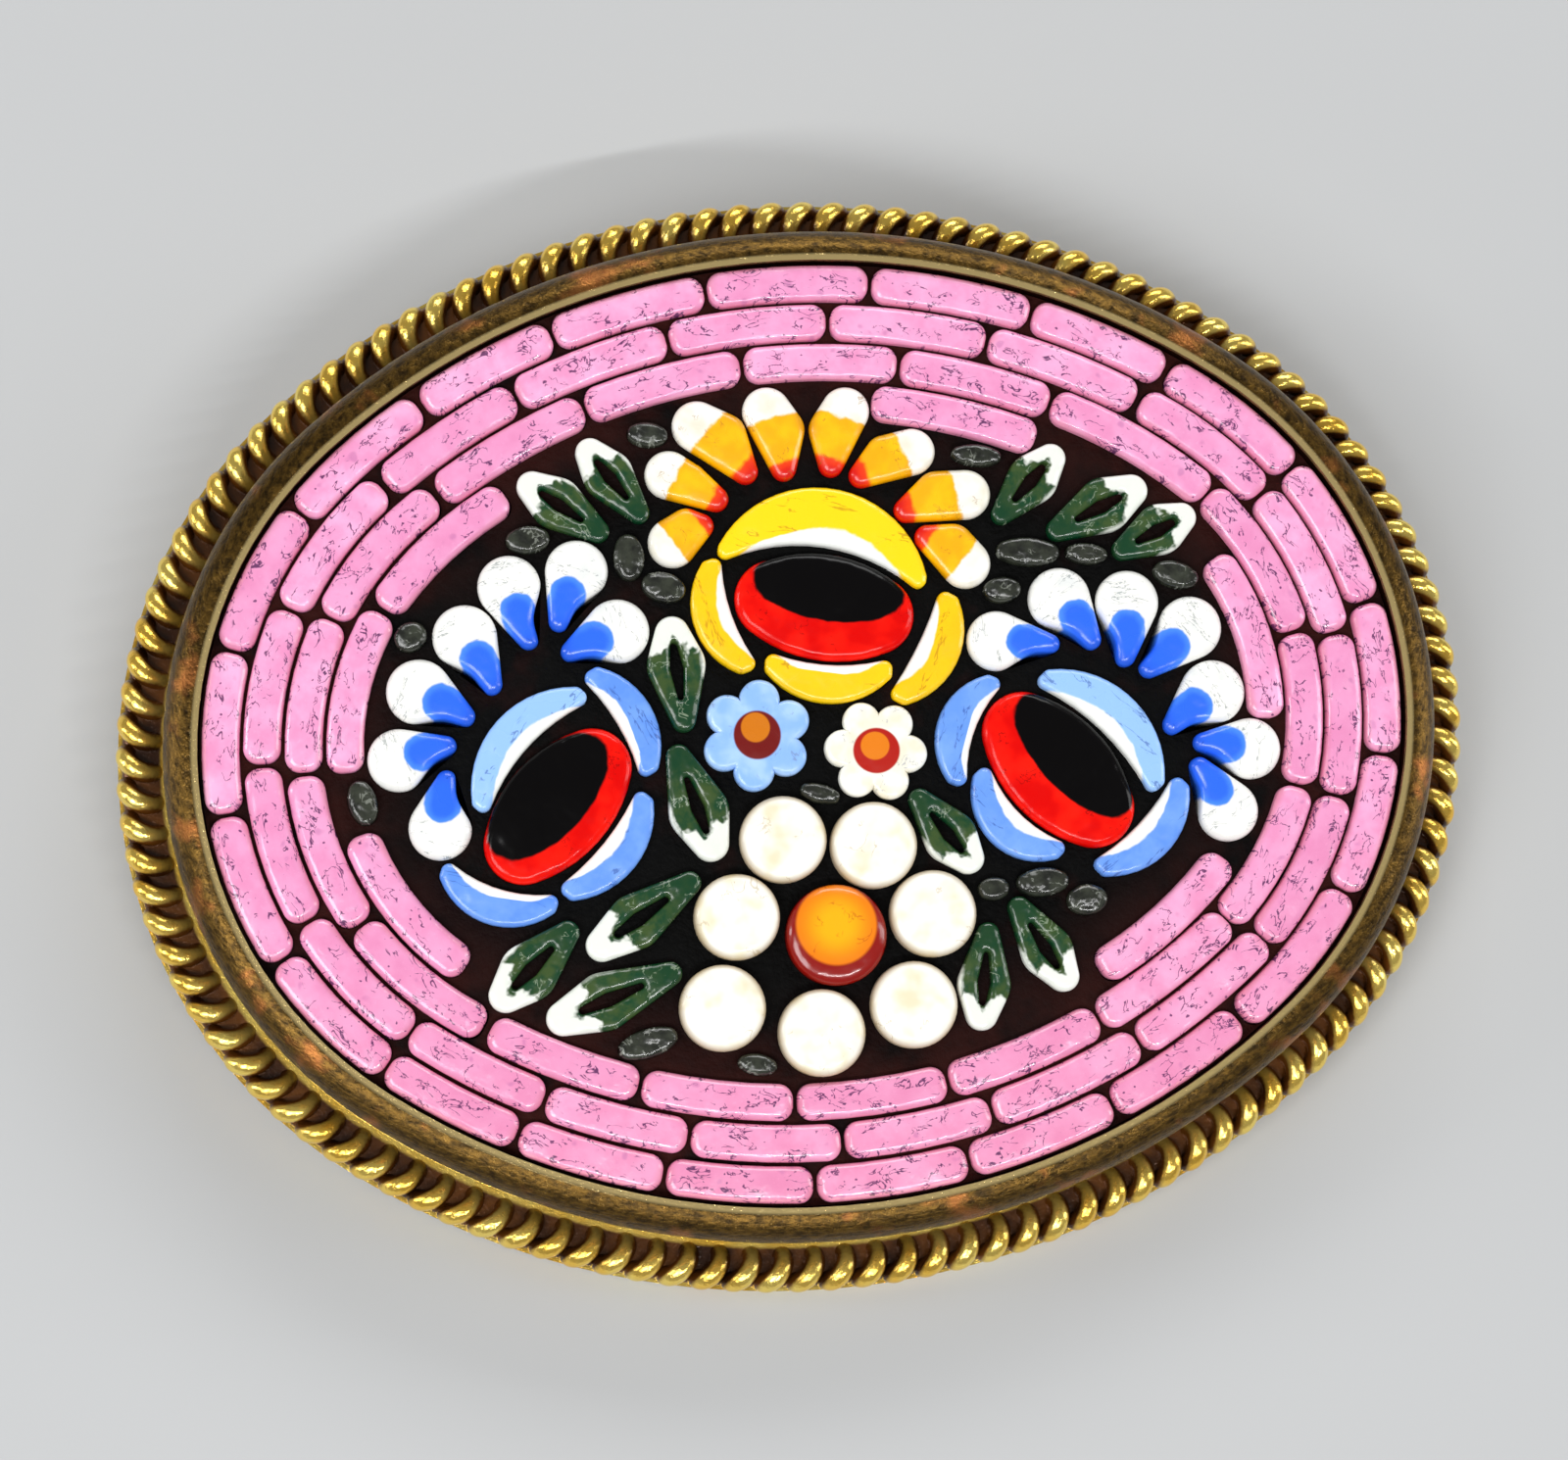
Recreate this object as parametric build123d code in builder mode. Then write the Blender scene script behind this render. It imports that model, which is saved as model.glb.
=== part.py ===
from build123d import *

# An oval gilt brooch. A rope border and a smooth bezel hold a field of black cement, set with
# short pink glass rods in courses and with glass cut in petals, crescents, eyes and beads.
# It lies on its back, on its pin fitting and on the lower edge of its plate.
import os
from math import asin, atan2, copysign, cos, degrees, hypot, radians, sin

# The mosaic's field, in millimetres
mosaic_length = 31.0
mosaic_width = 24.2
chart_columns = 31
chart_rows = 24
stone_thickness = 1.2
stone_recess = 0.15
stone_gap = 0.15
edge_round = 0.12
bead_rise = 0.25
cement_recess = 0.3
cement_gap = 0.03

# The setting
bezel_wall = 0.9
bezel_height = 3.7
bezel_round = 0.75
wall_round_share = 0.9
plate_thickness = 0.5
plate_margin = 0.6
rope_radius = 0.68
rope_gap = 0.04
rope_rise = 0.05
strand_radius = 0.27
strand_pitch = 0.825
strand_lay = -45.0
core_share = 0.72
core_rise = 0.15
core_round = 0.3

# The pin fitting under the plate
pin_rise = 3.5
pin_span = 23.0
bar_width = 1.9
bar_thickness = 0.4
bar_overhang = 1.6
lug_radius = 0.95
lug_length = 2.0
stem_drop = 1.5
stem_radius = 0.4
stem_beyond = 0.9
point_taper = 15
catch_bore = 0.62
catch_mouth = 0.9
solder_gap = 0.02

# Shares of the chart's cell, which the stones' sizes follow
rod_width = 0.9
rod_corner = 0.36
course_inset = 0.56
course_pitch = 1.034
petal_root = 0.5
bent_root = 0.6
crescent_end = 0.46
crescent_corner = 0.19
leaf_slit = 0.2

# Shares of a leaf's width: the radii of its two ends
leaf_tail = 0.29
leaf_point = 0.2

# Shares of a leaf's length, from its tail, and of its slit's radius
belly_place = 0.42
slit_places = (0.26, 0.45, 0.7)
slit_radii = (0.6, 1.0, 0.5)

half_length = mosaic_length / 2
half_width = mosaic_width / 2
cell_across = mosaic_length / chart_columns
cell_up = mosaic_width / chart_rows
cell = min(cell_across, cell_up)

rope_offset = bezel_wall + rope_gap + rope_radius
rope_level = rope_radius + rope_rise
core_radius = rope_radius * core_share
stone_top = bezel_height - stone_recess
stone_level = stone_top - stone_thickness
cement_top = stone_top - cement_recess
pin_level = -stem_drop

# The lean of the face as the brooch lies on its lugs and on the lower edge of its plate
plate_reach = half_width + rope_offset + plate_margin
lean = asin(lug_radius / hypot(pin_rise + plate_reach, stem_drop)) + atan2(stem_drop, pin_rise + plate_reach)
face_height = plate_reach * sin(lean)
face = Plane(
    origin=(0, rope_level * sin(lean), face_height),
    x_dir=(1, 0, 0),
    z_dir=(0, -sin(lean), cos(lean)),
)
face_axis = Axis(face.origin, face.z_dir)


def level(height):
    """The plane parallel to the face, this high above the underside of the plate."""
    return face.offset(height)


class FourCentreOval:
    """An oval of two end arcs and two side arcs, which meet in line with their centres."""

    def __init__(self, half_long, half_short):
        diagonal, spread = hypot(half_long, half_short), half_long - half_short
        self.end_radius = diagonal / half_long * (diagonal - spread) / 2
        self.side_radius = diagonal / half_short * (diagonal + spread) / 2
        self.end_shift = half_long - self.end_radius
        self.side_shift = self.side_radius - half_short
        self.joint = degrees(atan2(self.side_shift, self.end_shift))

    def at_end(self, angle):
        """Whether the place where the outward normal has this angle is on an end arc."""
        return abs(sin(radians(angle))) * self.end_shift < abs(cos(radians(angle))) * self.side_shift

    def radius(self, angle, inset=0.0):
        """The radius of the arc where the outward normal has this angle."""
        return (self.end_radius if self.at_end(angle) else self.side_radius) - inset

    def point(self, angle, inset=0.0):
        """The place inside the edge by this inset, where the outward normal has this angle."""
        across, up, reach = cos(radians(angle)), sin(radians(angle)), self.radius(angle, inset)
        if self.at_end(angle):
            return copysign(self.end_shift, across) + reach * across, reach * up
        return reach * across, reach * up - copysign(self.side_shift, up)

    def sketch(self, inset=0.0):
        """A face in the current sketch, bounded by the oval inside the edge by this inset."""
        joints = [-self.joint, self.joint, 180 - self.joint, 180 + self.joint, 360 - self.joint]
        with BuildLine() as edge:
            for start, end in zip(joints, joints[1:]):
                ThreePointArc(*[self.point(angle, inset) for angle in (start, (start + end) / 2, end)])
        make_face(edge.edges())

    def even_angles(self, inset, pitch):
        """Normal angles of places about this far apart, evenly spaced along the oval."""
        end_run = radians(2 * self.joint) * (self.end_radius - inset)
        side_run = radians(180 - 2 * self.joint) * (self.side_radius - inset)
        half_run = end_run + side_run
        count = round(2 * half_run / pitch)
        for index in range(count):
            half, run = divmod(2 * half_run * index / count, half_run)
            turned = min(run, end_run) / (self.end_radius - inset)
            turned += max(run - end_run, 0) / (self.side_radius - inset)
            yield 180 * half + degrees(turned) - self.joint


mosaic = FourCentreOval(half_length, half_width)


def chart_place(column, row):
    """Millimetres from the mosaic's centre for a place counted in cells of the chart."""
    return column * cell_across, row * cell_up


def beside(start, end):
    """A function from lengths along and to the left of the line from start to end to places."""
    run = hypot(end[0] - start[0], end[1] - start[1])
    along = ((end[0] - start[0]) / run, (end[1] - start[1]) / run)

    def place(length, side):
        return start[0] + length * along[0] - side * along[1], start[1] + length * along[1] + side * along[0]

    return place, run


def rod_face(start_angle, end_angle, inset, grow=0.0):
    """A glass rod that follows the rim between two normal angles, with rounded corners."""
    turn = degrees((stone_gap / 2 - grow) / mosaic.radius((start_angle + end_angle) / 2, inset))
    first, last = start_angle + turn, end_angle - turn
    middle = (first + last) / 2
    half_rod = rod_width * cell / 2 + grow
    outer, inner = inset - half_rod, inset + half_rod
    with BuildSketch(mode=Mode.PRIVATE) as rod:
        with BuildLine():
            ThreePointArc(*[mosaic.point(angle, outer) for angle in (first, middle, last)])
            Line(mosaic.point(last, outer), mosaic.point(last, inner))
            ThreePointArc(*[mosaic.point(angle, inner) for angle in (last, middle, first)])
            Line(mosaic.point(first, inner), mosaic.point(first, outer))
        make_face()
        fillet(rod.vertices(), rod_corner * cell)
    return rod.sketch


def hull_face(circles):
    """The hull of circles, each given by its centre and radius."""
    with BuildSketch(mode=Mode.PRIVATE) as hull:
        for centre, radius in circles:
            with Locations(centre):
                Circle(radius)
        make_hull()
    return hull.sketch


def petal_face(root_x, root_y, tip_x, tip_y, width, grow=0.0):
    """A petal: a wide round outer end that narrows to its root."""
    place, run = beside(chart_place(root_x, root_y), chart_place(tip_x, tip_y))
    tip, root = width * cell / 2, petal_root * cell / 2
    return hull_face([(place(root, 0), root + grow), (place(run - tip, 0), tip + grow)])


def bent_petal_face(root_x, root_y, waist_x, waist_y, tip_x, tip_y, waist, tip, grow=0.0):
    """A full petal: the hull of round ends and a round waist, given by their centres and widths."""
    centres = chart_place(root_x, root_y), chart_place(waist_x, waist_y), chart_place(tip_x, tip_y)
    return hull_face([(c, width * cell / 2 + grow) for c, width in zip(centres, (bent_root, waist, tip))])


def crescent_face(start_x, start_y, end_x, end_y, bulge, thickness, grow=0.0):
    """A crescent that bulges to the left of the line between its ends."""
    place, run = beside(chart_place(start_x, start_y), chart_place(end_x, end_y))
    half_end = crescent_end * cell / 2 + grow
    high, low = (bulge + thickness / 2) * cell + grow, (bulge - thickness / 2) * cell - grow
    first, last = -grow, run + grow
    with BuildSketch(mode=Mode.PRIVATE) as crescent:
        with BuildLine():
            ThreePointArc(place(first, half_end), place(run / 2, high), place(last, half_end))
            Line(place(last, half_end), place(last, -half_end))
            ThreePointArc(place(last, -half_end), place(run / 2, low), place(first, -half_end))
            Line(place(first, -half_end), place(first, half_end))
        make_face()
        fillet(crescent.vertices(), crescent_corner * cell)
    return crescent.sketch


def turned_face(plain, column, row, turn):
    """A face drawn about its middle, turned and moved to its place in the chart."""
    with BuildSketch(mode=Mode.PRIVATE) as turned:
        with Locations(Location(chart_place(column, row), turn)):
            add(plain)
    return turned.sketch


def round_face(column, row, diameter, grow=0.0):
    """A round stone."""
    with BuildSketch(mode=Mode.PRIVATE) as disc:
        with Locations(chart_place(column, row)):
            Circle(diameter * cell / 2 + grow)
    return disc.sketch


def eye_face(column, row, length, width, turn, grow=0.0):
    """An oval stone."""
    with BuildSketch(mode=Mode.PRIVATE) as plain:
        FourCentreOval(length * cell / 2 + grow, width * cell / 2 + grow).sketch()
    return turned_face(plain.sketch, column, row, turn)


def blossom_face(column, row, ring, lobe, turn, grow=0.0):
    """A small flower of six round lobes about its heart."""
    with BuildSketch(mode=Mode.PRIVATE) as blossom:
        with Locations(chart_place(column, row)):
            Circle(ring * cell)
            with PolarLocations(ring * cell, 6, start_angle=turn):
                Circle(lobe * cell + grow)
    return blossom.sketch


def leaf_face(tail_x, tail_y, tip_x, tip_y, width, grow=0.0):
    """A leaf with a blunt tail, a narrow tip and a slit along its middle."""
    place, run = beside(chart_place(tail_x, tail_y), chart_place(tip_x, tip_y))
    belly, tail, tip = width * cell / 2, width * cell * leaf_tail, width * cell * leaf_point
    outline = [(tail, tail), (run * belly_place, belly), (run - tip, tip)]
    slit = [(run * along, leaf_slit * cell * share) for along, share in zip(slit_places, slit_radii)]
    with BuildSketch(mode=Mode.PRIVATE) as leaf:
        add(hull_face([(place(length, 0), radius + grow) for length, radius in outline]))
        add(hull_face([(place(length, 0), radius - grow) for length, radius in slit]), mode=Mode.SUBTRACT)
    return leaf.sketch


def raise_stones(faces, height):
    """Solids that stand on the cement, one for each face, with their upper edges rounded."""
    with BuildPart() as stones:
        with BuildSketch(level(stone_level)):
            add(faces)
        extrude(amount=height)
        fillet(stones.edges().group_by(face_axis)[-1], edge_round)
    return stones.part


# The chart: places in cells from the mosaic's centre, columns to the right and rows up

# Joints of the rod courses, as angles of the rim's normal, from the outer course in
COURSE_JOINTS = [
    [
        11.5, 35, 56, 68, 81.5, 95, 108, 120, 137.5, 160.5, 185,
        208, 230, 242.5, 254.5, 266.5, 279, 291.5, 304, 326, 348,
    ],
    [8, 35, 57, 71, 85, 99, 113, 126.5, 151.5, 178, 205, 230, 243.5, 256, 269, 282, 296, 312, 340],
    [10, 42, 64, 78.5, 93, 108, 123.5, 150, 180, 210.5, 236.5, 251, 265, 279, 294, 310, 340],
]
# The short inner course: first angle, last angle
INNER_RODS = [(64, 81), (118, 143.5), (144, 181), (194, 232), (296, 320), (352.5, 391.5)]

# name, centre column, centre row, length, width, turn
EYES = [
    ("left_eye", -6.63, -1.38, 4.58, 2.68, 43),
    ("right_eye", 6.23, -1.64, 4.7, 2.78, -52),
    ("yellow_eye", 0.64, 3.04, 4.6, 2.7, -14),
]

# name, start column, start row, end column, end row, bulge, thickness
CRESCENTS = [
    ("left_crescent_1", -8.6, -1.32, -5.68, 1.38, 0.685, 0.98),
    ("left_crescent_2", -5.53, 1.92, -4.25, -0.8, 0.44, 0.9),
    ("left_crescent_3", -4.4, -1.28, -6.68, -3.6, 0.46, 0.95),
    ("left_crescent_4", -6.87, -3.8, -9.66, -2.64, 0.56, 0.88),
    ("right_crescent_1", 3.6, -1.8, 4.88, 0.82, 0.57, 0.92),
    ("right_crescent_2", 6.02, 0.76, 8.74, -2.38, 0.69, 1.1),
    ("right_crescent_3", 9.4, -2.2, 6.95, -4.26, 0.49, 0.97),
    ("right_crescent_4", 6.12, -3.74, 4.22, -1.44, 0.62, 0.98),
    ("yellow_crescent_1", -1.95, 4.62, 3.28, 3.36, 1.37, 1.48),
    ("yellow_crescent_2", 3.88, 3.1, 2.25, 0.5, 0.42, 1.05),
    ("yellow_crescent_3", 2.2, 1.33, -1.0, 1.8, 0.51, 0.94),
    ("yellow_crescent_4", -1.42, 1.6, -2.12, 4.5, 0.49, 0.95),
]

# flower, then for each straight petal: root column, root row, tip column, tip row, width
PETALS = {
    "left_petal": [
        (-6.9, 2.65, -7.54, 5.0, 1.57),
        (-6.25, 3.05, -5.27, 5.2, 1.56),
        (-6.15, 2.4, -3.95, 3.14, 1.6),
        (-7.9, 1.6, -8.9, 3.8, 1.6),
        (-8.55, 0.95, -10.52, 2.24, 1.62),
        (-9.05, 0.42, -11.26, -0.02, 1.55),
        (-9.3, -0.25, -9.8, -2.42, 1.56),
    ],
    "right_petal": [
        (6.6, 1.55, 4.25, 1.9, 1.5),
        (7.58, 1.4, 6.32, 3.38, 1.58),
        (8.25, 0.85, 8.62, 3.27, 1.6),
        (8.7, 0.6, 10.7, 2.17, 1.6),
        (9.15, -0.9, 11.15, 0.42, 1.62),
        (9.85, -1.25, 12.04, -1.72, 1.54),
        (9.8, -1.7, 10.87, -3.77, 1.54),
    ],
}

# root column and row, waist column and row, tip column and row, waist width, tip width
FULL_PETALS = [
    (-1.02, 6.68, -1.47, 7.66, -2.15, 7.95, 1.1, 1.26),
    (-1.85, 6.04, -2.48, 6.57, -3.0, 6.76, 0.86, 1.2),
    (-2.3, 5.38, -2.68, 5.43, -3.07, 5.02, 0.84, 1.24),
    (-0.03, 6.68, 0.03, 7.68, -0.32, 8.18, 1.12, 1.22),
    (1.2, 6.68, 1.3, 7.58, 1.71, 8.03, 1.12, 1.2),
    (1.95, 6.34, 2.62, 6.81, 3.32, 6.84, 1.0, 1.16),
    (3.02, 5.35, 3.85, 5.74, 4.6, 5.62, 1.06, 1.24),
    (3.48, 4.6, 4.14, 4.36, 4.41, 3.84, 1.04, 1.24),
]

# name, column, row, ring of the lobes, lobe, turn
BLOSSOMS = [
    ("pale_blossom", -1.43, -0.07, 0.91, 0.5, 20),
    ("white_blossom", 1.57, -0.74, 0.84, 0.46, -10),
]

# column, row, diameter
WHITE_BEADS = [
    (-1.04, -2.76, 2.17),
    (1.25, -3.12, 2.17),
    (2.58, -4.98, 2.17),
    (1.85, -7.21, 2.17),
    (-0.56, -7.68, 2.17),
    (-3.0, -6.82, 2.15),
    (-2.41, -4.59, 2.14),
]
AMBER_BEAD = (0.06, -5.28, 2.52)

# tail column, tail row, tip column, tip row, width
LEAVES = [
    (-6.8, 6.98, -4.74, 5.3, 1.3),
    (-5.15, 7.78, -3.72, 5.64, 1.25),
    (-3.34, 3.12, -3.23, 0.2, 1.45),
    (-2.75, -3.1, -3.55, -0.14, 1.5),
    (-8.7, -6.23, -6.48, -4.38, 1.45),
    (-7.4, -6.8, -3.95, -5.75, 1.45),
    (-6.2, -5.15, -3.27, -3.48, 1.38),
    (3.87, -3.98, 2.42, -1.85, 1.33),
    (3.5, -8.0, 4.0, -5.35, 1.32),
    (5.95, -7.2, 4.7, -4.8, 1.3),
    (7.18, 6.6, 5.3, 4.86, 1.27),
    (9.3, 5.5, 6.65, 4.4, 1.4),
    (10.5, 4.68, 8.3, 3.75, 1.28),
]

# column, row, length, width, turn
CHIPS = [
    (-6.75, 5.4, 1.08, 0.66, 0),
    (-4.23, 4.73, 1.15, 0.75, 90),
    (-3.45, 7.83, 1.0, 0.6, -10),
    (-3.42, 3.9, 1.1, 0.72, -20),
    (-9.93, 3.2, 0.8, 0.7, 25),
    (-11.5, -0.85, 1.1, 0.7, 100),
    (-4.95, -7.5, 1.5, 0.7, 12),
    (-2.25, -8.3, 0.95, 0.5, -15),
    (0.03, -1.68, 1.0, 0.45, -20),
    (4.98, 6.6, 1.25, 0.52, -10),
    (6.05, 4.0, 1.6, 0.7, -8),
    (7.57, 3.82, 1.05, 0.5, -10),
    (5.27, 3.08, 0.93, 0.63, 0),
    (9.85, 3.08, 1.15, 0.65, -20),
    (4.22, -4.5, 0.76, 0.56, 0),
    (5.5, -4.45, 1.3, 0.7, 0),
    (6.6, -5.0, 1.0, 0.75, 0),
]


def course_rods(number, grow):
    """The rods of one whole course, counted from the bezel."""
    joints = COURSE_JOINTS[number]
    inset = (course_inset + number * course_pitch) * cell
    return [rod_face(start, end, inset, grow) for start, end in zip(joints, joints[1:] + [joints[0] + 360])]


def inner_rods(grow):
    """The rods of the short inner course."""
    inset = (course_inset + len(COURSE_JOINTS) * course_pitch) * cell
    return [rod_face(start, end, inset, grow) for start, end in INNER_RODS]


def flat_stones(grow=0.0):
    """The faces of each node's stones, under the node's name."""
    faces = {name: [eye_face(*row, grow)] for name, *row in EYES}
    faces.update({name: [crescent_face(*row, grow)] for name, *row in CRESCENTS})
    for flower, rows in PETALS.items():
        faces.update({f"{flower}_{i + 1}": [petal_face(*row, grow)] for i, row in enumerate(rows)})
    for i, row in enumerate(FULL_PETALS):
        faces[f"yellow_petal_{i + 1}"] = [bent_petal_face(*row, grow)]
    faces.update({name: [blossom_face(*row, grow)] for name, *row in BLOSSOMS})
    faces["leaves"] = [leaf_face(*row, grow) for row in LEAVES]
    faces["grey_chips"] = [eye_face(*row, grow) for row in CHIPS]
    faces["outer_rods"] = course_rods(0, grow) + course_rods(2, grow)
    faces["inner_rods"] = course_rods(1, grow) + inner_rods(grow)
    return faces


def high_stones(grow=0.0):
    """The faces of the beads, which stand a little higher than the rest."""
    return {
        "white_beads": [round_face(*row, grow) for row in WHITE_BEADS],
        "amber_bead": [round_face(*AMBER_BEAD, grow)],
    }


def strand_place(angle):
    """A plane across one strand of the rope, turned by the lay."""
    x, y = mosaic.point(angle, -rope_offset)
    outward = face.x_dir * cos(radians(angle)) + face.y_dir * sin(radians(angle))
    onward = face.y_dir * cos(radians(angle)) - face.x_dir * sin(radians(angle))
    turn = radians(strand_lay)
    normal = onward * cos(turn) + (face.z_dir - outward) * (sin(turn) / 2**0.5)
    return Plane(origin=face.from_local_coords(Vector(x, y, rope_level)), z_dir=normal)


with BuildPart() as setting:
    with BuildSketch(level(0)):
        mosaic.sketch(-rope_offset - plate_margin)
    extrude(amount=plate_thickness)
    with BuildSketch(level(0)):
        mosaic.sketch(-rope_offset - core_radius)
    extrude(amount=rope_level + core_rise)
    fillet(setting.edges().group_by(face_axis)[-1], core_round)
    with BuildSketch(level(0)):
        mosaic.sketch(-bezel_wall)
    extrude(amount=bezel_height)
    fillet(setting.edges().group_by(face_axis)[-1], min(bezel_round, bezel_wall * wall_round_share))
    with BuildSketch(level(plate_thickness)):
        mosaic.sketch()
    extrude(amount=bezel_height, mode=Mode.SUBTRACT)
    with Locations(*[strand_place(angle) for angle in mosaic.even_angles(-rope_offset, strand_pitch)]):
        Torus(rope_radius - strand_radius, strand_radius)
setting.part.label = "setting"


def lug_plane(x):
    """The plane across the pin, seen along its stem, at this distance from the middle."""
    origin = face.from_local_coords(Vector(x, pin_rise, pin_level))
    return Plane(origin=origin, x_dir=face.y_dir, z_dir=face.x_dir)


def lug_profile():
    """A lug as it is seen along the stem: round below, square up to the bar."""
    Circle(lug_radius)
    with Locations((0, (stem_drop - solder_gap) / 2)):
        Rectangle(2 * lug_radius, stem_drop - solder_gap)


with BuildPart() as brooch_pin:
    bar_length = pin_span + 2 * bar_overhang
    with BuildSketch(level(-solder_gap)):
        with Locations((0, pin_rise)):
            SlotOverall(bar_length, bar_width)
    extrude(amount=-bar_thickness)
    for side in (-1, 1):
        with BuildSketch(lug_plane(side * pin_span / 2)):
            lug_profile()
        extrude(amount=lug_length / 2, both=True)
    with BuildSketch(lug_plane(pin_span / 2)):
        Circle(catch_bore)
        with Locations((-lug_radius, 0)):
            Rectangle(2 * lug_radius, catch_mouth)
    extrude(amount=lug_length, both=True, mode=Mode.SUBTRACT)
    with BuildSketch(lug_plane(-pin_span / 2)):
        Circle(stem_radius)
    extrude(amount=pin_span + lug_length / 2)
    with BuildSketch(lug_plane(pin_span / 2 + lug_length / 2)):
        Circle(stem_radius)
    extrude(amount=stem_beyond, taper=point_taper)
brooch_pin.part.label = "brooch_pin"

pockets = [*flat_stones(cement_gap).values(), *high_stones(cement_gap).values()]

with BuildPart() as mosaic_bed:
    with BuildSketch(level(plate_thickness + cement_gap)):
        mosaic.sketch(cement_gap)
    extrude(amount=cement_top - plate_thickness - cement_gap)
    with BuildSketch(level(stone_level - cement_gap)):
        add([pocket for group in pockets for pocket in group])
    extrude(amount=stone_thickness, mode=Mode.SUBTRACT)
mosaic_bed.part.label = "mosaic_bed"

pieces = [setting.part, brooch_pin.part, mosaic_bed.part]
for groups, height in ((flat_stones(), stone_thickness), (high_stones(), stone_thickness + bead_rise)):
    for name, faces in groups.items():
        stone = raise_stones(faces, height)
        stone.label = name
        pieces.append(stone)

os.makedirs("parts", exist_ok=True)
for piece in pieces:
    export_step(piece, f"parts/{piece.label}.step")
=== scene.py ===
import math
import random

import bmesh
import bpy
from mathutils import Matrix, Vector


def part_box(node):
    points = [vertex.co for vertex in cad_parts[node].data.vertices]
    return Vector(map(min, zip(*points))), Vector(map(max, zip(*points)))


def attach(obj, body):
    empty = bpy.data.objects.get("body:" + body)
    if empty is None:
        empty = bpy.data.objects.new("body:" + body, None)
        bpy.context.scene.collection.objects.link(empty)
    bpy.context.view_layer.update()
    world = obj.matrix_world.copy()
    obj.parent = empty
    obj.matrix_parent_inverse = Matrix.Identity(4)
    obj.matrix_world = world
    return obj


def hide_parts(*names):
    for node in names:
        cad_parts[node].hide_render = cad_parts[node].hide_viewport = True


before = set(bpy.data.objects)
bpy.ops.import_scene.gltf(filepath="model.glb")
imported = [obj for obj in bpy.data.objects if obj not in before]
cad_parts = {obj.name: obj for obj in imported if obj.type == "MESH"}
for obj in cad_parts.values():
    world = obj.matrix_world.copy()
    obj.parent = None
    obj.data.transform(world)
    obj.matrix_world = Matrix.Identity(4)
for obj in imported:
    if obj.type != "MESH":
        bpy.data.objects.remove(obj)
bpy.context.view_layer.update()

MM = 0.001
CM = 0.01

# Heights above the plate's underside and widths on the face, in millimetres
BED_LEVEL = 0.53
HALF_LONG = 15.5
HALF_SHORT = 12.1
BEZEL_WALL = 0.9
BEZEL_TOP = 3.7
ROPE_PATH = 1.62
ROPE_LEVEL = 0.73
ROPE_RADIUS = 0.68

# The copied solids: how near corners merge, what counts as a downward face, and flat and smooth angles
WELD = 0.0005
UNDERSIDE = -0.9
STONE_UNDERSIDE = -0.99
FLAT_ANGLE = 0.02
ROUND_SHADE = math.radians(42)

# How far the stones grow to close the seams, in millimetres
STONE_GROWTH = 0.02

# The dents of the blue petals' commas: their place as a share of the length, then millimetres, and cuts
DENT_PLACE = 0.3
DENT_ASIDE = 0.5
DENT_DEPTH = 0.17
DENT_REACH = 0.85
DENT_EDGE = 0.5
DENT_CUTS = 12

# Shares of a stone that mark its waist and ends, and the most that its grain is shifted by
WAIST_BAND = 0.12
END_BAND = 0.44
LEAST_WAIST = 0.45
GRAIN_SHIFT = 60

# How pale the crescents are
CRESCENT_TONES = {
    "left_crescent_1": 1.0, "left_crescent_2": 0.1, "left_crescent_3": 0.15, "left_crescent_4": 0.0,
    "right_crescent_1": 0.2, "right_crescent_2": 1.0, "right_crescent_3": 0.1, "right_crescent_4": 0.2,
    "yellow_crescent_1": 1.0, "yellow_crescent_2": 0.2, "yellow_crescent_3": 0.4, "yellow_crescent_4": 0.3,
}

# The camera: millimetres over the face's middle, turns in radians, the lens, and a near limit in metres
CAMERA_AIM_LEVEL = 2.65
CAMERA_DISTANCE = 90.0
CAMERA_TILT = 0.153
CAMERA_HEADING = -2.464
CAMERA_TURNS = (-0.001, -0.007, 0.103)
CAMERA_LENS = 80.35
CAMERA_SENSOR = 36
CAMERA_NEAR = 0.005

# The studio: each panel's name, place, size and watts, with the lengths in centimetres
LIGHTS = [
    ("window", (-14, -10, 22), (12, 12), 0.36),
    ("back_panel", (6, 20, 16), (22, 8), 0.3),
    ("side_strip", (22, -2, 10), (5, 20), 0.16),
    ("gloss_strip", (2, -16, 22), (16, 0.5), 0.28),
    ("left_strip", (-24, 4, 9), (3, 14), 0.14),
]
WORLD_COLOR = (0.86, 0.85, 0.82, 1)
WORLD_STRENGTH = 0.28
FLOOR_SIZE = 1.2
FLOOR_COLORS = (0.46, 0.47, 0.48), (0.5, 0.51, 0.52)


def face_frame():
    """The place of the face's own millimetres in the room: across, up and out of the mosaic."""
    down = Vector()
    middle = Vector()
    area = 0.0
    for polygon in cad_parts["mosaic_bed"].data.polygons:
        if polygon.normal.z < UNDERSIDE:
            down += polygon.normal * polygon.area
            middle += polygon.center * polygon.area
            area += polygon.area
    out = -down.normalized()
    across = Vector((1, 0, 0))
    axes = Matrix((across, out.cross(across), out)).transposed().to_4x4()
    return Matrix.Translation(middle / area - out * BED_LEVEL * MM) @ axes @ Matrix.Scale(MM, 4)


FACE = face_frame()


# Shaping by hand, in the face's millimetres


def take(piece):
    """Makes a piece the only one that is selected."""
    bpy.ops.object.select_all(action="DESELECT")
    piece.select_set(True)
    bpy.context.view_layer.objects.active = piece


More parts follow.
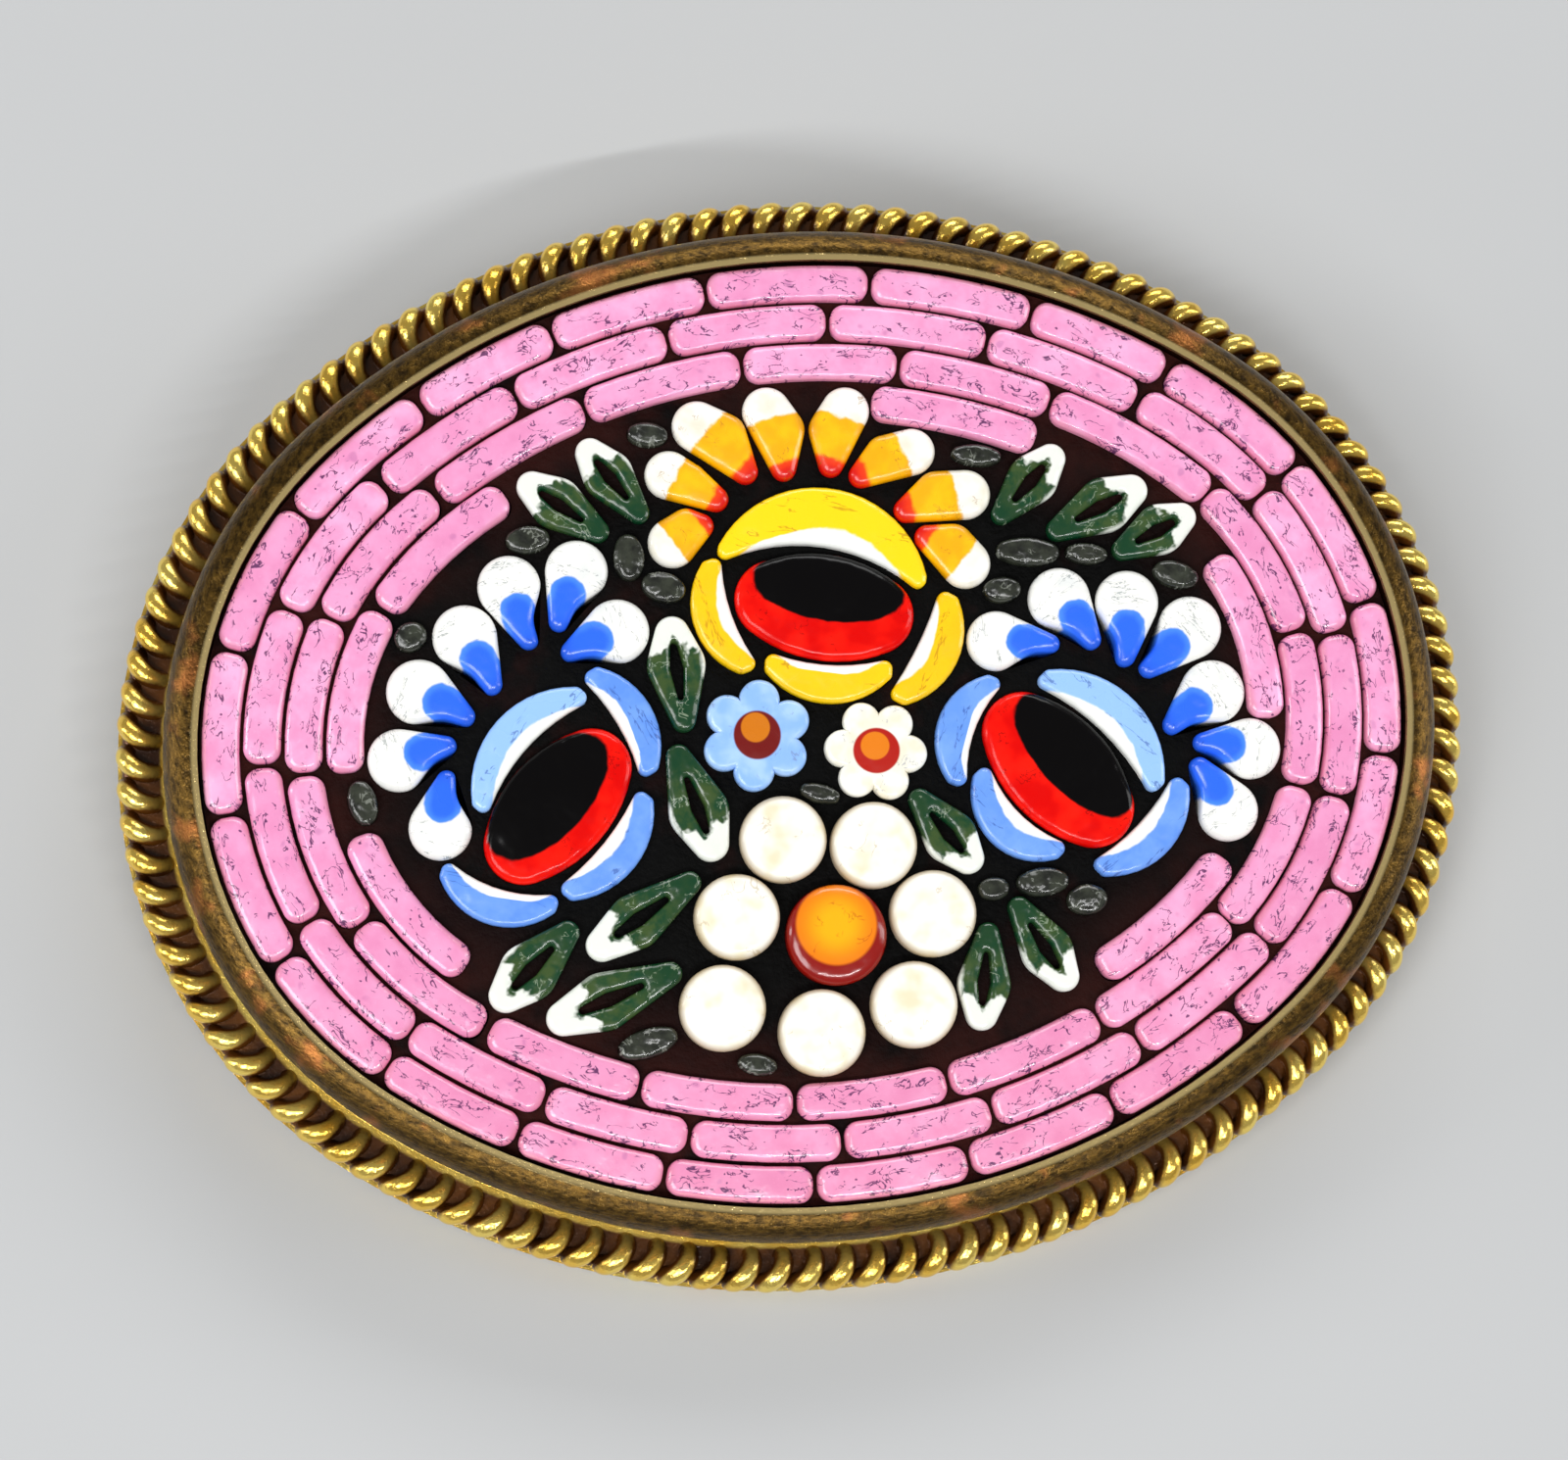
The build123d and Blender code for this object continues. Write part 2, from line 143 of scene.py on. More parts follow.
def face_copy(node, name):
    """A copy of a solid in the face's millimetres, with its triangles joined."""
    piece = bpy.data.objects.new(name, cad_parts[node].data.copy())
    bpy.context.collection.objects.link(piece)
    piece.data.transform(FACE.inverted())
    take(piece)
    bpy.ops.mesh.customdata_custom_splitnormals_clear()
    bpy.ops.object.mode_set(mode="EDIT")
    bpy.ops.mesh.select_all(action="SELECT")
    bpy.ops.mesh.remove_doubles(threshold=WELD)
    bpy.ops.object.mode_set(mode="OBJECT")
    return piece


def pick_faces(piece, test):
    """Selects the faces that pass a test, in edit mode."""
    bpy.ops.mesh.select_mode(type="FACE")
    bpy.ops.mesh.select_all(action="DESELECT")
    mesh = bmesh.from_edit_mesh(piece.data)
    for facet in mesh.faces:
        facet.select_set(test(facet))
    bmesh.update_edit_mesh(piece.data)


def draw_in(piece, ahead, side):
    """Draws in one side of a petal's flat outline by its root: the left, seen from the root, for 1, and the
    right for -1.
    """
    mesh = bmesh.from_edit_mesh(piece.data)
    bpy.ops.mesh.select_mode(type="EDGE")
    bpy.ops.mesh.select_all(action="DESELECT")
    for edge in mesh.edges:
        edge.select_set(edge.calc_length() > DENT_EDGE)
    bmesh.update_edit_mesh(piece.data)
    bpy.ops.mesh.subdivide(number_cuts=DENT_CUTS)
    bpy.ops.mesh.select_mode(type="VERT")
    bpy.ops.mesh.select_all(action="DESELECT")
    mesh = bmesh.from_edit_mesh(piece.data)
    points = [vertex.co.xy for vertex in mesh.verts]
    middle = sum(points, Vector((0, 0))) / len(points)
    along = long_axis(points)
    if along.dot(ahead(middle)) < 0:
        along = -along
    runs = [(point - middle).dot(along) for point in points]
    foot, length = min(runs), max(runs) - min(runs)
    across = Vector((-along.y, along.x)) * side
    target = middle + along * (foot + DENT_PLACE * length) + across * DENT_ASIDE
    nearest = min(mesh.verts, key=lambda vertex: (vertex.co.xy - target).length)
    nearest.select_set(True)
    bmesh.update_edit_mesh(piece.data)
    bpy.ops.transform.translate(
        value=(*(across * -DENT_DEPTH), 0), use_proportional_edit=True, proportional_edit_falloff="SMOOTH",
        proportional_size=DENT_REACH,
    )
    bpy.ops.mesh.select_mode(type="FACE")


def work_stones(piece, shoulder, ahead, side):
    """Remakes each stone from its underside, dented if side isn't 0, and rounds its upper edge in rings."""
    heights = [vertex.co.z for vertex in piece.data.vertices]
    wall = max(heights) - min(heights) - sum(rise for _, rise in shoulder)
    take(piece)
    bpy.ops.object.mode_set(mode="EDIT")
    pick_faces(piece, lambda facet: facet.normal.z > STONE_UNDERSIDE)
    bpy.ops.mesh.delete(type="FACE")
    bpy.ops.mesh.select_all(action="SELECT")
    bpy.ops.mesh.dissolve_limited(angle_limit=FLAT_ANGLE)
    bpy.ops.mesh.select_all(action="SELECT")
    bpy.ops.mesh.flip_normals()
    if side:
        draw_in(piece, ahead, side)
    bpy.ops.mesh.select_all(action="SELECT")
    bpy.ops.mesh.extrude_region_move(TRANSFORM_OT_translate={"value": (0, 0, wall)})
    for width, rise in shoulder:
        bpy.ops.mesh.inset(thickness=width, depth=rise, use_even_offset=True)
    bpy.ops.mesh.select_all(action="SELECT")
    bpy.ops.transform.shrink_fatten(value=STONE_GROWTH)
    bpy.ops.object.mode_set(mode="OBJECT")


def stones_of(piece):
    """The vertices of each separate stone."""
    leader = list(range(len(piece.data.vertices)))

    def lead(index):
        while leader[index] != index:
            leader[index] = leader[leader[index]]
            index = leader[index]
        return index

    for edge in piece.data.edges:
        a, b = (lead(index) for index in edge.vertices)
        leader[a] = b
    groups = {}
    for index in range(len(leader)):
        groups.setdefault(lead(index), []).append(index)
    return list(groups.values())


def long_axis(points):
    """The direction in which a stone's outline is longest."""
    middle = sum(points, Vector((0, 0))) / len(points)
    xx = sum((p - middle).x ** 2 for p in points)
    yy = sum((p - middle).y ** 2 for p in points)
    xy = sum((p - middle).x * (p - middle).y for p in points)
    angle = 0.5 * math.atan2(2 * xy, xx - yy)
    return Vector((math.cos(angle), math.sin(angle)))


def lay_chart(piece, ahead, aside, seed, fixed_tone):
    """Gives each stone a chart: shares along and across it, millimetres along and across it, and a tone."""
    mesh = piece.data
    dice = random.Random(seed)
    chart, grain, tones = {}, {}, {}
    for stone in stones_of(piece):
        points = {index: mesh.vertices[index].co.xy for index in stone}
        middle = sum(points.values(), Vector((0, 0))) / len(points)
        if ahead is None and aside is None:
            along = Vector((1, 0))
        else:
            along = long_axis(list(points.values()))
        if ahead and along.dot(ahead(middle)) < 0:
            along = -along
        across = Vector((-along.y, along.x))
        if aside and across.dot(aside(middle)) < 0:
            along, across = -along, -across
        run = {index: (point - middle).dot(along) for index, point in points.items()}
        side = {index: (point - middle).dot(across) for index, point in points.items()}
        first, length = min(run.values()), max(run.values()) - min(run.values())
        share = {index: (run[index] - first) / length for index in stone}
        waist = [side[index] for index in stone if abs(share[index] - 0.5) < WAIST_BAND]
        ends = [side[index] for index in stone if abs(share[index] - 0.5) > END_BAND]
        whole = [min(side.values()), max(side.values())]
        if not waist or max(waist) - min(waist) < LEAST_WAIST * (whole[1] - whole[0]):
            waist = whole
        crown = (max(waist) + min(waist)) / 2
        foot = sum(ends) / len(ends)
        half = (max(waist) - min(waist)) / 2
        tone, shift = dice.random(), Vector((dice.uniform(0, GRAIN_SHIFT), dice.uniform(0, GRAIN_SHIFT)))
        if fixed_tone is not None:
            tone = fixed_tone
        for index in stone:
            centre_line = foot + (crown - foot) * (1 - (2 * share[index] - 1) ** 2)
            chart[index] = (share[index], (side[index] - centre_line) / half)
            grain[index] = Vector((run[index], side[index])) + shift
            tones[index] = tone
    for name, values in (("chart", chart), ("grain", grain)):
        layer = mesh.uv_layers.new(name=name)
        for corner, loop in enumerate(mesh.loops):
            layer.data[corner].uv = values[loop.vertex_index]
    tone_layer = mesh.attributes.new("tone", "FLOAT", "POINT")
    for index, tone in tones.items():
        tone_layer.data[index].value = tone


def set_down(piece, slot, finish, *nodes):
    """Puts a finished piece in its place on the brooch, with its finish."""
    piece.data.transform(FACE)
    piece.data.materials.clear()
    piece.data.materials.append(finish)
    take(piece)
    bpy.ops.object.shade_smooth_by_angle(angle=ROUND_SHADE)
    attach(piece, "root")
    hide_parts(*nodes)


def join_pieces(pieces, name):
    """Makes one piece of several."""
    take(pieces[0])
    for piece in pieces:
        piece.select_set(True)
    bpy.ops.object.join()
    pieces[0].name = name
    return pieces[0]


# Finishes


class Signal:
    """A socket of a finish, on which sums and products add Math nodes."""

    def __init__(self, finish, socket):
        self.finish = finish
        self.socket = socket

    def math(self, operation, *values):
        return self.finish.node("ShaderNodeMath", {"operation": operation}, dict(enumerate(values)))

    def __add__(self, other):
        return self.math("ADD", self, other)

    def __radd__(self, other):
        return self.math("ADD", other, self)

    def __sub__(self, other):
        return self.math("SUBTRACT", self, other)

    def __rsub__(self, other):
        return self.math("SUBTRACT", other, self)

    def __mul__(self, other):
        return self.math("MULTIPLY", self, other)

    def __rmul__(self, other):
        return self.math("MULTIPLY", other, self)

    def __truediv__(self, other):
        return self.math("DIVIDE", self, other)

    def __abs__(self):
        return self.math("ABSOLUTE", self)

    def most(self, other):
        return self.math("MAXIMUM", self, other)

    def root(self):
        return self.math("SQRT", self)

    def rise(self, low, high):
        """Nought below the first value and one above the second, eased between them."""
        settings = {"interpolation_type": "SMOOTHSTEP"}
        return self.finish.node("ShaderNodeMapRange", settings, {0: self, 1: low, 2: high, 3: 0.0, 4: 1.0})


class Finish:
    """A material of the brooch and the nodes that paint it."""

    def __init__(self, name):
        self.material = bpy.data.materials.new(name)
        self.material.use_nodes = True
        self.tree = self.material.node_tree
        self.tree.nodes.clear()
        self.known = {}

    def node(self, kind, settings=None, inputs=None, output=0):
        """Adds a node, sets it, and gives its sockets their values or links."""
        node = self.tree.nodes.new(kind)
        for setting, value in (settings or {}).items():
            setattr(node, setting, value)
        for socket, value in (inputs or {}).items():
            if isinstance(value, Signal):
                self.tree.links.new(value.socket, node.inputs[socket])
            else:
                node.inputs[socket].default_value = value
        return Signal(self, node.outputs[output])

    def once(self, key, make):
        if key not in self.known:
            self.known[key] = make()
        return self.known[key]

    def place(self):
        """The place on the brooch, in millimetres of the row."""
        coordinates = self.once("object", lambda: self.node("ShaderNodeTexCoord", output="Object"))
        return self.once("place", lambda: self.scaled(coordinates, (1 / MM, 1 / MM, 1 / MM)))

    def scaled(self, vector, scale):
        return self.node("ShaderNodeVectorMath", {"operation": "MULTIPLY"}, {0: vector, 1: scale})

    def split(self, vector):
        return [self.node("ShaderNodeSeparateXYZ", None, {0: vector}, axis) for axis in range(3)]

    def chart(self):
        """Shares along and across the stone."""
        where = self.once("chart", lambda: self.node("ShaderNodeUVMap", {"uv_map": "chart"}))
        return self.once("chart split", lambda: self.split(where)[:2])

    def grain(self):
        """Millimetres along and across the stone."""
        return self.once("grain", lambda: self.node("ShaderNodeUVMap", {"uv_map": "grain"}))

    def tone(self):
        """A number from nought to one that differs from stone to stone."""
        settings = {"attribute_name": "tone"}
        return self.once("tone", lambda: self.node("ShaderNodeAttribute", settings, output="Fac"))

    def face_place(self):
        """Millimetres across, up and out of the brooch's face."""
        def along(row):
            axis = {0: self.place(), 1: row.xyz * MM}
            return self.node("ShaderNodeVectorMath", {"operation": "DOT_PRODUCT"}, axis, "Value") + row.w

        return self.once("face place", lambda: [along(row) for row in FACE.inverted()[:3]])

    def rim(self):
        """Millimetres outwards from the edge of the mosaic, an oval of four arcs."""
        x, y = (abs(value) for value in self.face_place()[:2])
        diagonal, spread = math.hypot(HALF_LONG, HALF_SHORT), HALF_LONG - HALF_SHORT
        end_radius = diagonal / HALF_LONG * (diagonal - spread) / 2
        side_radius = diagonal / HALF_SHORT * (diagonal + spread) / 2
        end_shift, side_shift = HALF_LONG - end_radius, side_radius - HALF_SHORT
        sides_of_joint = {0: y * end_shift, 1: (x - end_shift) * side_shift}
        at_end = self.node("ShaderNodeMath", {"operation": "LESS_THAN"}, sides_of_joint)
        end = ((x - end_shift) * (x - end_shift) + y * y).root() - end_radius
        side = (x * x + (y + side_shift) * (y + side_shift)).root() - side_radius
        return side + at_end * (end - side)

    def noise(self, vector, scale, detail, rough, twist=0.0):
        values = {"Vector": vector, "Scale": scale, "Detail": detail, "Roughness": rough, "Distortion": twist}
        return self.node("ShaderNodeTexNoise", {"noise_dimensions": "3D"}, values)

    def mix(self, share, under, over):
        """A colour that goes from one to the other."""
        under, over = (paint if isinstance(paint, Signal) else (*paint, 1.0) for paint in (under, over))
        return self.node("ShaderNodeMix", {"data_type": "RGBA"}, {0: share, 6: under, 7: over}, 2)

    def bump(self, height, depth):
        """A normal from a height of nought to one, this many millimetres deep."""
        values = {"Strength": 1.0, "Distance": depth * MM, "Height": height}
        return self.node("ShaderNodeBump", None, values)

    def surface(self, **values):
        """The shader, with its values and links."""
        values = {key.replace("_", " "): value for key, value in values.items()}
        shader = self.node("ShaderNodeBsdfPrincipled", None, values)
        output = self.tree.nodes.new("ShaderNodeOutputMaterial")
        self.tree.links.new(shader.socket, output.inputs["Surface"])
        return self.material

    def glass(self, paint, scale, least_rough, rough_range, relief, **values):
        """The shader of cut glass with slow waves of this scale, which are this many millimetres deep."""
        wave = self.noise(self.grain(), scale, 2, 0.5)
        rough = least_rough + rough_range * wave
        return self.surface(Base_Color=paint, Roughness=rough, Normal=self.bump(wave, relief), **values)


def srgb(red, green, blue):
    """A colour as the eye names it, from nought to 255, for the shader."""
    shares = red / 255, green / 255, blue / 255
    return tuple(share / 12.92 if share <= 0.04045 else ((share + 0.055) / 1.055) ** 2.4 for share in shares)


def scratches(finish, scale, level, turn=(1.0, 1.0), width=0.018):
    """Short fine squiggles: where a stretched noise crosses its middle, in a few patches."""
    grain = finish.scaled(finish.grain(), (turn[0], turn[1], 1))
    line = abs(finish.noise(grain, scale, 3, 0.6, 0.6) - 0.5)
    patch = finish.noise(grain, scale * 0.7, 2, 0.5)
    return (1 - line.rise(width * 0.3, width)) * patch.rise(level, level + 0.04)


def pink_finish():
    """Orchid pink glass rods with fine dark squiggles, with painted shade that turns them darker salmon at
    their ends and sides and towards the lower rim.
    """
    finish = Finish("pink_rods")
    along, across = finish.chart()
    grain = finish.grain()
    cloud = finish.noise(grain, 1.0, 3, 0.6)
    body = finish.mix(cloud.rise(0.3, 0.7), srgb(234, 148, 194), srgb(248, 178, 220))
    body = finish.mix(finish.tone().rise(0.0, 1.0) * 0.5, body, srgb(222, 132, 180))
    # Painted shade: the rods turn darker salmon towards the bottom of the face.
    body = finish.mix((0.0 - finish.face_place()[1]).rise(0.0, 14.0) * 0.4, body, srgb(222, 128, 158))
    # Painted shade: the rods turn darker salmon along their sides and at their ends, by the gaps between
    # them.
    edge = abs(across).rise(0.7, 1.1).most(abs(along - 0.5).rise(0.42, 0.52))
    body = finish.mix(edge * 0.5, body, srgb(212, 120, 132))
    smudge = finish.noise(grain, 2.6, 1, 0.4).rise(0.66, 0.8)
    body = finish.mix(smudge * 0.4, body, srgb(168, 92, 152))
    body = finish.mix(scratches(finish, 2.6, 0.5, (0.7, 1.2), 0.024) * 0.9, body, srgb(72, 22, 80))
    speck = finish.noise(grain, 6.5, 1, 0.3).rise(0.74, 0.77)
    body = finish.mix(speck * 0.85, body, srgb(84, 28, 88))
    wave = finish.noise(grain, 0.9, 2, 0.4)
    fine = finish.noise(grain, 9, 2, 0.5)
    normal = finish.bump(wave + fine * 0.05, 0.16)
    rough = 0.14 + 0.2 * fine
    coat = {"Coat_Weight": 0.6, "Coat_Roughness": 0.04}
    return finish.surface(Base_Color=body, Roughness=rough, Normal=normal, **coat)


def blue_petal_finish():
    """A white petal with a round-headed blue core that runs out to its root."""
    finish = Finish("blue_petals")
    along, across = finish.chart()
    grain = finish.grain()
    ahead = (along - 0.4).most(0.0) / 0.19
    ragged = (finish.noise(grain, 3, 2, 0.5) - 0.5) * 0.25
    reach = (ahead * ahead + (across / 0.6) * (across / 0.6)).root() + ragged
    inside = 1 - reach.rise(0.93, 1.07)
    stain = finish.noise(grain, 1.3, 2, 0.5).rise(0.5, 0.75)
    paint = finish.mix(stain * 0.5, srgb(240, 240, 236), srgb(214, 220, 222))
    paint = finish.mix(scratches(finish, 2.4, 0.52, (2.2, 0.6)) * 0.7, paint, srgb(128, 138, 140))
    core = finish.mix(reach.rise(0.5, 1.0), srgb(40, 104, 246), srgb(70, 136, 252))
    paint = finish.mix(inside, paint, core)
    paint = finish.mix((1 - along.rise(0.02, 0.2)) * 0.3, paint, srgb(20, 50, 140))
    return finish.glass(paint, 1.2, 0.2, 0.15, 0.1, Coat_Weight=0.3, Coat_Roughness=0.1)


def yellow_petal_finish():
    """A golden petal with a white cap and a red root."""
    finish = Finish("yellow_petals")
    along, across = finish.chart()
    grain = finish.grain()
    ragged = (finish.noise(grain, 3, 2, 0.5) - 0.5) * 0.1
    place = along + ragged
    cloud = finish.noise(grain, 1.4, 2, 0.5)
    gold = finish.mix(cloud.rise(0.35, 0.7), srgb(244, 172, 0), srgb(253, 192, 2))
    gold = finish.mix(abs(across).rise(0.6, 1.0) * 0.5, gold, srgb(190, 128, 10))
    root = finish.mix(place.rise(0.05, 0.18), srgb(214, 14, 4), srgb(240, 60, 8))
    paint = finish.mix(place.rise(0.16, 0.22), root, gold)
    stain = finish.noise(grain, 1.5, 2, 0.5)
    cap = finish.mix(stain.rise(0.4, 0.75), srgb(246, 244, 236), srgb(232, 228, 210))
    paint = finish.mix(place.rise(0.63, 0.67), paint, cap)
    paint = finish.mix(scratches(finish, 2.2, 0.56) * 0.5, paint, srgb(150, 96, 30))
    return finish.glass(paint, 1.2, 0.2, 0.15, 0.1, Coat_Weight=0.3, Coat_Roughness=0.1)


def crescent_finish(name, body, pale, mark):
    """A crescent of coloured glass with a white band along its inner side, narrower towards its ends."""
    finish = Finish(name)
    along, across = finish.chart()
    grain = finish.grain()
    ragged = (finish.noise(grain, 3, 2, 0.5) - 0.5) * 0.24
    from_middle = abs(along - 0.5) * 2
    band = 0.3 + from_middle * from_middle * 0.6
    white = (across - band + ragged).rise(-0.07, 0.07)
    paint = finish.mix(finish.tone(), body, pale)
    paint = finish.mix(finish.noise(grain, 1.1, 3, 0.6).rise(0.35, 0.7) * 0.3, paint, pale)
    paint = finish.mix(scratches(finish, 1.7, 0.54, (0.5, 1.8), 0.022) * 0.6, paint, mark)
    paint = finish.mix(white, paint, srgb(240, 242, 238))
    return finish.glass(paint, 1.2, 0.2, 0.15, 0.1, Coat_Weight=0.3, Coat_Roughness=0.1)


def eye_finish(name, centre, half):
    """A glossy black oval in scarlet, towards the petals' side."""
    finish = Finish(name)
    along, across = finish.chart()
    grain = finish.grain()
    length, width = (along - 0.5) * 2 / 0.86, (across - centre) / half
    reach = (length * length + width * width).root() + (finish.noise(grain, 2, 2, 0.5) - 0.5) * 0.1
    cloud = finish.noise(grain, 1.2, 2, 0.5)
    red = finish.mix(cloud.rise(0.35, 0.7), srgb(216, 4, 2), srgb(250, 26, 10))
    red = finish.mix(scratches(finish, 2.4, 0.56) * 0.6, red, srgb(120, 4, 4))
    paint = finish.mix(reach.rise(0.96, 1.02), srgb(2, 1, 2), red)
    return finish.glass(paint, 0.9, 0.12, 0.12, 0.12, Specular_IOR_Level=0.22)


def leaf_finish():
    """A dark green leaf with a white forked tail, an olive middle and often a thin white rim."""
    finish = Finish("leaf_glass")
    along, across = finish.chart()
    grain = finish.grain()
    cloud = finish.noise(grain, 2, 3, 0.6)
    paint = finish.mix(cloud.rise(0.35, 0.65), srgb(14, 62, 34), srgb(58, 80, 38))
    paint = finish.mix(along.rise(0.55, 0.9) * 0.8, paint, srgb(4, 56, 30))
    paint = finish.mix(scratches(finish, 2.6, 0.54, (1, 1), 0.022) * 0.45, paint, srgb(170, 186, 160))
    ragged = (finish.noise(grain, 2.6, 2, 0.5) - 0.5) * 0.3
    fork = 0.32 - (1 - abs(across).rise(0.0, 0.5)) * 0.14
    tail = 1 - (along + ragged - fork).rise(-0.02, 0.03)
    rim = (across + ragged).rise(0.78, 0.95) * (1 - along.rise(0.7, 0.9)) * finish.tone().rise(0.3, 0.5)
    paint = finish.mix(tail.most(rim), paint, srgb(232, 236, 228))
    return finish.glass(paint, 1.4, 0.15, 0.15, 0.14, Coat_Weight=0.3, Coat_Roughness=0.08)


def bead_finish():
    """Creamy white glass canes with tan edges and faint stains."""
    finish = Finish("cream_canes")
    along, across = finish.chart()
    grain = finish.grain()
    centre = (along - 0.5) * 2
    out = (centre * centre + across * across).root()
    stain = finish.noise(grain, 1.2, 2, 0.5)
    paint = finish.mix(stain.rise(0.45, 0.75), srgb(246, 244, 234), srgb(232, 222, 190))
    paint = finish.mix(scratches(finish, 1.6, 0.58) * 0.5, paint, srgb(178, 156, 116))
    paint = finish.mix(out.rise(0.84, 1.02) * 0.7, paint, srgb(168, 140, 90))
    return finish.glass(paint, 1.2, 0.25, 0.15, 0.08, Coat_Weight=0.3, Coat_Roughness=0.12)


def amber_finish():
    """An amber disc in red-brown glass."""
    finish = Finish("amber_cane")
    along, across = finish.chart()
    grain = finish.grain()
    centre, above = (along - 0.5) * 2, across - 0.2
    out = (centre * centre + above * above).root()
    paint = finish.mix(out.rise(0.2, 0.8), srgb(250, 176, 8), srgb(238, 126, 6))
    paint = finish.mix(scratches(finish, 1.6, 0.52) * 0.5, paint, srgb(170, 70, 6))
    paint = finish.mix(out.rise(0.76, 0.84), paint, srgb(140, 12, 4))
    return finish.glass(paint, 1.2, 0.15, 0.1, 0.06, Coat_Weight=0.3)


def blossom_finish(name, lobe, pale, dark, disc, shift, heart):
    """A six-lobed flower cut across a cane, with a dark round heart and a paler disc in it."""
    finish = Finish(name)
    along, across = finish.chart()
    grain = finish.grain()
    centre = (along - 0.5) * 2
    out = (centre * centre + across * across).root()
    paint = finish.mix(finish.noise(grain, 1.6, 2, 0.5).rise(0.35, 0.7), lobe, pale)
    paint = finish.mix(scratches(finish, 2.2, 0.55) * 0.5, paint, srgb(110, 120, 150))
    paint = finish.mix(out.rise(heart, heart + 0.04), dark, paint)
    u, v = centre - shift[0], across - shift[1]
    seed = (u * u + v * v).root()
    paint = finish.mix(seed.rise(heart * 0.6, heart * 0.68), disc, paint)
    return finish.glass(paint, 1.2, 0.2, 0.15, 0.08, Coat_Weight=0.3)


def chip_finish():
    """Dark glossy grey-green glass with pale scratches."""
    finish = Finish("grey_chips")
    grain = finish.grain()
    cloud = finish.noise(grain, 2.2, 3, 0.6)
    paint = finish.mix(cloud.rise(0.3, 0.7), srgb(20, 22, 18), srgb(52, 56, 46))
    paint = finish.mix(scratches(finish, 2.6, 0.52, (1, 1), 0.03) * 0.5, paint, srgb(150, 154, 144))
    return finish.glass(paint, 1.6, 0.12, 0.2, 0.2, Coat_Weight=0.4)


def cement_finish():
    """Black cement with red-brown grime between the rods by the rim."""
    finish = Finish("black_cement")
    place = finish.place()
    cloud = finish.noise(place, 0.5, 3, 0.6)
    by_rim = finish.rim().rise(-6.0, -2.0)
    grime = (cloud.rise(0.55, 0.75) * 0.3).most(by_rim * cloud.rise(0.25, 0.6))
    paint = finish.mix(grime, srgb(1, 1, 1), srgb(46, 15, 11))
    fine = finish.noise(place, 6, 3, 0.6)
    return finish.surface(
        Base_Color=paint, Roughness=0.5 + 0.3 * fine, Normal=finish.bump(fine, 0.05), Specular_IOR_Level=0.08
    )


def gilt_finish():
    """Worn gilding: a bright rope with painted shade in its hollows, a brushed bezel painted dark olive as a
    painted dark reflection, with painted shade at its foot and inner wall, and a painted highlight along its
    lip.
    """
    finish = Finish("worn_gilt")
    place = finish.place()
    rim, (_, _, height) = finish.rim(), finish.face_place()
    cloud = finish.noise(place, 0.6, 3, 0.6)
    fine = finish.noise(place, 12, 3, 0.6)
    from_path = rim - ROPE_PATH
    over_path = height - ROPE_LEVEL
    reach = (from_path * from_path + over_path * over_path).root() + (fine - 0.5) * 0.06
    strand = reach.rise(ROPE_RADIUS * 0.72, ROPE_RADIUS * 0.92)
    gold = finish.mix(cloud.rise(0.3, 0.7), srgb(250, 198, 74), srgb(255, 228, 122))
    # Painted shade: the rope's strands are brown on their inner side, towards its core.
    hollow_shade = finish.mix(cloud.rise(0.35, 0.65), srgb(52, 26, 8), srgb(104, 60, 18))
    rope = finish.mix(strand, hollow_shade, gold)
    brushed = finish.noise(finish.scaled(place, (1, 1, 5)), 3.5, 4, 0.7)
    # Painted reflection: the bezel's band is painted dark olive, as a dark reflection, with brushed streaks
    # in it.
    band = finish.mix(brushed.rise(0.3, 0.7), srgb(44, 31, 10), srgb(112, 84, 34))
    band = finish.mix(cloud.rise(0.55, 0.7) * 0.6, band, srgb(176, 108, 56))
    # Painted shade: the bezel turns near black at its foot, in the crevice by the rope.
    foot = 1 - height.rise(1.2, 1.9)
    band = finish.mix(foot * 0.9, band, srgb(30, 10, 5))
    # Painted highlight: a pale bright line along the bezel's top inner edge.
    lip_highlight = (1 - rim.rise(0.1, 0.2)) * height.rise(BEZEL_TOP - 0.2, BEZEL_TOP - 0.1)
    band = finish.mix(lip_highlight, band, srgb(246, 218, 150))
    # Painted shade: the bezel's inner wall, next to the stones, is dark brown.
    inside = 1 - rim.rise(0.0, 0.06)
    band = finish.mix(inside * (1 - lip_highlight), band, srgb(60, 30, 14))
    on_bezel = 1 - rim.rise(BEZEL_WALL, BEZEL_WALL + 0.03)
    back = 1 - height.rise(0.0, 0.02)
    paint = finish.mix(on_bezel, rope, band)
    paint = finish.mix(back, paint, gold)
    dull = on_bezel * (1 - lip_highlight)
    rough = 0.1 + 0.14 * fine + dull * 0.12
    # Painted shade: the rope's hollows are also made less metallic, which darkens them further.
    metal = 0.86 - (1 - strand) * (1 - on_bezel) * 0.5
    normal = finish.bump(fine + brushed * dull * 2, 0.012)
    return finish.surface(Base_Color=paint, Metallic=metal, Roughness=rough, Normal=normal)


# The stones

ROD_SHOULDER = [(0.02, 0.05), (0.04, 0.04), (0.06, 0.03), (0.08, 0.015)]
PETAL_SHOULDER = [(0.02, 0.06), (0.04, 0.05), (0.06, 0.035), (0.08, 0.02)]
SMALL_SHOULDER = [(0.015, 0.04), (0.03, 0.03), (0.05, 0.02), (0.05, 0.01)]
BEAD_SHOULDER = [(0.02, 0.06), (0.05, 0.06), (0.08, 0.04), (0.12, 0.03), (0.2, 0.02)]


